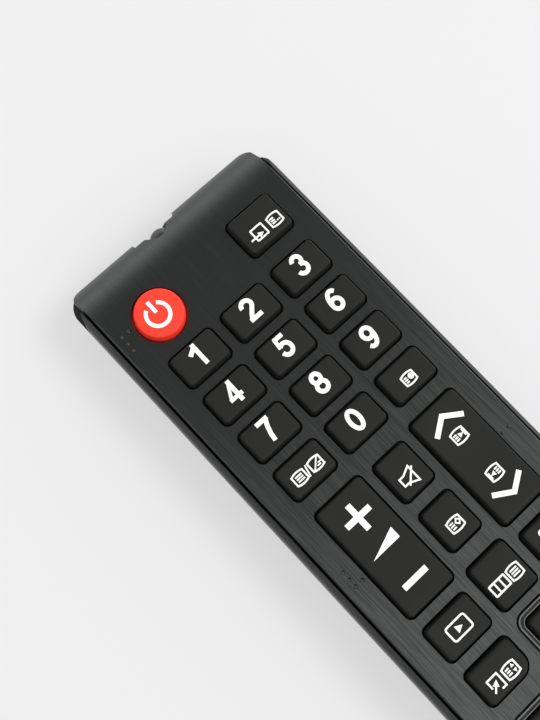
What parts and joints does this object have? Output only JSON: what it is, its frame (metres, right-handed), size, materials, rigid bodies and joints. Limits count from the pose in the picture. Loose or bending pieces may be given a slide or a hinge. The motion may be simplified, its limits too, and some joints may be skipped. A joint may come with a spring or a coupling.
{
  "type": "television remote control",
  "caption": "Slim black handheld remote control with a rubber keypad, rocker keys, navigation cross, infrared emitter and a sliding battery door on its back.",
  "frame": {"origin": "centre of the footprint, on the flat back that it lies on", "axes": "+Z out of the key face, +Y along the remote to the emitter end, +X across to the right as the keys are read"},
  "size_m": [0.048, 0.175, 0.0202],
  "materials": {
    "cover_plastic": "satin with fine lengthwise hairlines",
    "case_plastic": "satin",
    "door_plastic": "satin",
    "bezel_gloss": "polished",
    "key_rubber": "matte, printed legends",
    "power_rubber": "matte",
    "red_rubber": "matte",
    "green_rubber": "matte",
    "yellow_rubber": "matte",
    "blue_rubber": "matte",
    "mat_silicone": "matte",
    "board_laminate": "laminate",
    "carbon": "carbon ink",
    "emitter_lens": "clear dark epoxy",
    "tinned_wire": "tinned",
    "chip_epoxy": "moulded",
    "resonator_coat": "dipped",
    "capacitor_sleeve": "shrunk sleeve",
    "cell_sleeve": "plain sleeve",
    "spring_steel": "nickel plated"
  },
  "bodies": {
    "case": {"top_cover": "cover_plastic", "bottom_case": "case_plastic", "nav_bezel": "bezel_gloss", "keypad_mat": "mat_silicone", "circuit_board": "board_laminate", "contact_pads": "carbon", "ir_led": "emitter_lens", "led_leads": "tinned_wire", "controller_chip": "chip_epoxy", "resonator": "resonator_coat", "capacitor": "capacitor_sleeve", "cell_left": "cell_sleeve", "cell_right": "cell_sleeve", "coil_contacts": "spring_steel", "front_contacts": "spring_steel", "bridge_contact": "spring_steel"},
    "door": {"battery_door": "door_plastic"},
    "volume": {"volume_key": "key_rubber"},
    "channel": {"channel_key": "key_rubber"},
    "power": {"power_key": "power_rubber"},
    "up": {"up_key": "key_rubber"},
    "down": {"down_key": "key_rubber"},
    "left": {"left_key": "key_rubber"},
    "right": {"right_key": "key_rubber"},
    "enter": {"enter_key": "key_rubber"},
    "source": {"source_key": "key_rubber"},
    "digit_1": {"key_1": "key_rubber"},
    "digit_2": {"key_2": "key_rubber"},
    "digit_3": {"key_3": "key_rubber"},
    "digit_4": {"key_4": "key_rubber"},
    "digit_5": {"key_5": "key_rubber"},
    "digit_6": {"key_6": "key_rubber"},
    "digit_7": {"key_7": "key_rubber"},
    "digit_8": {"key_8": "key_rubber"},
    "digit_9": {"key_9": "key_rubber"},
    "digit_0": {"key_0": "key_rubber"},
    "text": {"text_key": "key_rubber"},
    "previous": {"previous_key": "key_rubber"},
    "mute": {"mute_key": "key_rubber"},
    "list": {"list_key": "key_rubber"},
    "media": {"media_key": "key_rubber"},
    "menu": {"menu_key": "key_rubber"},
    "guide": {"guide_key": "key_rubber"},
    "tools": {"tools_key": "key_rubber"},
    "info": {"info_key": "key_rubber"},
    "return": {"return_key": "key_rubber"},
    "exit": {"exit_key": "key_rubber"},
    "red": {"red_key": "red_rubber"},
    "green": {"green_key": "green_rubber"},
    "yellow": {"yellow_key": "yellow_rubber"},
    "blue": {"blue_key": "blue_rubber"},
    "manual": {"manual_key": "key_rubber"},
    "size": {"size_key": "key_rubber"},
    "caption": {"caption_key": "key_rubber"},
    "rewind": {"rewind_key": "key_rubber"},
    "pause": {"pause_key": "key_rubber"},
    "forward": {"forward_key": "key_rubber"},
    "record": {"record_key": "key_rubber"},
    "play": {"play_key": "key_rubber"},
    "stop": {"stop_key": "key_rubber"}
  },
  "joints": [
    {"name": "door_slide", "type": "slide", "parent": "case", "child": "door", "axis": [0, -1, 0], "range_m": [0, 0.07]},
    {"name": "volume_rock", "type": "hinge", "parent": "case", "child": "volume", "pos_m": [-0.0118, 0.0141, 0.0159], "axis": [1, 0, 0], "range_deg": [-4, 4], "stiffness_Nm_per_rad": 0.19},
    {"name": "channel_rock", "type": "hinge", "parent": "case", "child": "channel", "pos_m": [0.0118, 0.0141, 0.0159], "axis": [1, 0, 0], "range_deg": [-4, 4], "stiffness_Nm_per_rad": 0.19},
    {"name": "power_press", "type": "slide", "parent": "case", "child": "power", "axis": [0, 0, -1], "range_m": [0, 0.0008], "stiffness_N_per_m": 1000},
    {"name": "up_press", "type": "slide", "parent": "case", "child": "up", "axis": [0, 0, -1], "range_m": [0, 0.0008], "stiffness_N_per_m": 1000},
    {"name": "down_press", "type": "slide", "parent": "case", "child": "down", "axis": [0, 0, -1], "range_m": [0, 0.0008], "stiffness_N_per_m": 1000},
    {"name": "left_press", "type": "slide", "parent": "case", "child": "left", "axis": [0, 0, -1], "range_m": [0, 0.0008], "stiffness_N_per_m": 1000},
    {"name": "right_press", "type": "slide", "parent": "case", "child": "right", "axis": [0, 0, -1], "range_m": [0, 0.0008], "stiffness_N_per_m": 1000},
    {"name": "enter_press", "type": "slide", "parent": "case", "child": "enter", "axis": [0, 0, -1], "range_m": [0, 0.0008], "stiffness_N_per_m": 1000},
    {"name": "source_press", "type": "slide", "parent": "case", "child": "source", "axis": [0, 0, -1], "range_m": [0, 0.0008], "stiffness_N_per_m": 1000},
    {"name": "digit_1_press", "type": "slide", "parent": "case", "child": "digit_1", "axis": [0, 0, -1], "range_m": [0, 0.0008], "stiffness_N_per_m": 1000},
    {"name": "digit_2_press", "type": "slide", "parent": "case", "child": "digit_2", "axis": [0, 0, -1], "range_m": [0, 0.0008], "stiffness_N_per_m": 1000},
    {"name": "digit_3_press", "type": "slide", "parent": "case", "child": "digit_3", "axis": [0, 0, -1], "range_m": [0, 0.0008], "stiffness_N_per_m": 1000},
    {"name": "digit_4_press", "type": "slide", "parent": "case", "child": "digit_4", "axis": [0, 0, -1], "range_m": [0, 0.0008], "stiffness_N_per_m": 1000},
    {"name": "digit_5_press", "type": "slide", "parent": "case", "child": "digit_5", "axis": [0, 0, -1], "range_m": [0, 0.0008], "stiffness_N_per_m": 1000},
    {"name": "digit_6_press", "type": "slide", "parent": "case", "child": "digit_6", "axis": [0, 0, -1], "range_m": [0, 0.0008], "stiffness_N_per_m": 1000},
    {"name": "digit_7_press", "type": "slide", "parent": "case", "child": "digit_7", "axis": [0, 0, -1], "range_m": [0, 0.0008], "stiffness_N_per_m": 1000},
    {"name": "digit_8_press", "type": "slide", "parent": "case", "child": "digit_8", "axis": [0, 0, -1], "range_m": [0, 0.0008], "stiffness_N_per_m": 1000},
    {"name": "digit_9_press", "type": "slide", "parent": "case", "child": "digit_9", "axis": [0, 0, -1], "range_m": [0, 0.0008], "stiffness_N_per_m": 1000},
    {"name": "digit_0_press", "type": "slide", "parent": "case", "child": "digit_0", "axis": [0, 0, -1], "range_m": [0, 0.0008], "stiffness_N_per_m": 1000},
    {"name": "text_press", "type": "slide", "parent": "case", "child": "text", "axis": [0, 0, -1], "range_m": [0, 0.0008], "stiffness_N_per_m": 1000},
    {"name": "previous_press", "type": "slide", "parent": "case", "child": "previous", "axis": [0, 0, -1], "range_m": [0, 0.0008], "stiffness_N_per_m": 1000},
    {"name": "mute_press", "type": "slide", "parent": "case", "child": "mute", "axis": [0, 0, -1], "range_m": [0, 0.0008], "stiffness_N_per_m": 1000},
    {"name": "list_press", "type": "slide", "parent": "case", "child": "list", "axis": [0, 0, -1], "range_m": [0, 0.0008], "stiffness_N_per_m": 1000},
    {"name": "media_press", "type": "slide", "parent": "case", "child": "media", "axis": [0, 0, -1], "range_m": [0, 0.0008], "stiffness_N_per_m": 1000},
    {"name": "menu_press", "type": "slide", "parent": "case", "child": "menu", "axis": [0, 0, -1], "range_m": [0, 0.0008], "stiffness_N_per_m": 1000},
    {"name": "guide_press", "type": "slide", "parent": "case", "child": "guide", "axis": [0, 0, -1], "range_m": [0, 0.0008], "stiffness_N_per_m": 1000},
    {"name": "tools_press", "type": "slide", "parent": "case", "child": "tools", "axis": [0, 0, -1], "range_m": [0, 0.0008], "stiffness_N_per_m": 1000},
    {"name": "info_press", "type": "slide", "parent": "case", "child": "info", "axis": [0, 0, -1], "range_m": [0, 0.0008], "stiffness_N_per_m": 1000},
    {"name": "return_press", "type": "slide", "parent": "case", "child": "return", "axis": [0, 0, -1], "range_m": [0, 0.0008], "stiffness_N_per_m": 1000},
    {"name": "exit_press", "type": "slide", "parent": "case", "child": "exit", "axis": [0, 0, -1], "range_m": [0, 0.0008], "stiffness_N_per_m": 1000},
    {"name": "red_press", "type": "slide", "parent": "case", "child": "red", "axis": [0, 0, -1], "range_m": [0, 0.0008], "stiffness_N_per_m": 1000},
    {"name": "green_press", "type": "slide", "parent": "case", "child": "green", "axis": [0, 0, -1], "range_m": [0, 0.0008], "stiffness_N_per_m": 1000},
    {"name": "yellow_press", "type": "slide", "parent": "case", "child": "yellow", "axis": [0, 0, -1], "range_m": [0, 0.0008], "stiffness_N_per_m": 1000},
    {"name": "blue_press", "type": "slide", "parent": "case", "child": "blue", "axis": [0, 0, -1], "range_m": [0, 0.0008], "stiffness_N_per_m": 1000},
    {"name": "manual_press", "type": "slide", "parent": "case", "child": "manual", "axis": [0, 0, -1], "range_m": [0, 0.0008], "stiffness_N_per_m": 1000},
    {"name": "size_press", "type": "slide", "parent": "case", "child": "size", "axis": [0, 0, -1], "range_m": [0, 0.0008], "stiffness_N_per_m": 1000},
    {"name": "caption_press", "type": "slide", "parent": "case", "child": "caption", "axis": [0, 0, -1], "range_m": [0, 0.0008], "stiffness_N_per_m": 1000},
    {"name": "rewind_press", "type": "slide", "parent": "case", "child": "rewind", "axis": [0, 0, -1], "range_m": [0, 0.0008], "stiffness_N_per_m": 1000},
    {"name": "pause_press", "type": "slide", "parent": "case", "child": "pause", "axis": [0, 0, -1], "range_m": [0, 0.0008], "stiffness_N_per_m": 1000},
    {"name": "forward_press", "type": "slide", "parent": "case", "child": "forward", "axis": [0, 0, -1], "range_m": [0, 0.0008], "stiffness_N_per_m": 1000},
    {"name": "record_press", "type": "slide", "parent": "case", "child": "record", "axis": [0, 0, -1], "range_m": [0, 0.0008], "stiffness_N_per_m": 1000},
    {"name": "play_press", "type": "slide", "parent": "case", "child": "play", "axis": [0, 0, -1], "range_m": [0, 0.0008], "stiffness_N_per_m": 1000},
    {"name": "stop_press", "type": "slide", "parent": "case", "child": "stop", "axis": [0, 0, -1], "range_m": [0, 0.0008], "stiffness_N_per_m": 1000}
  ]
}
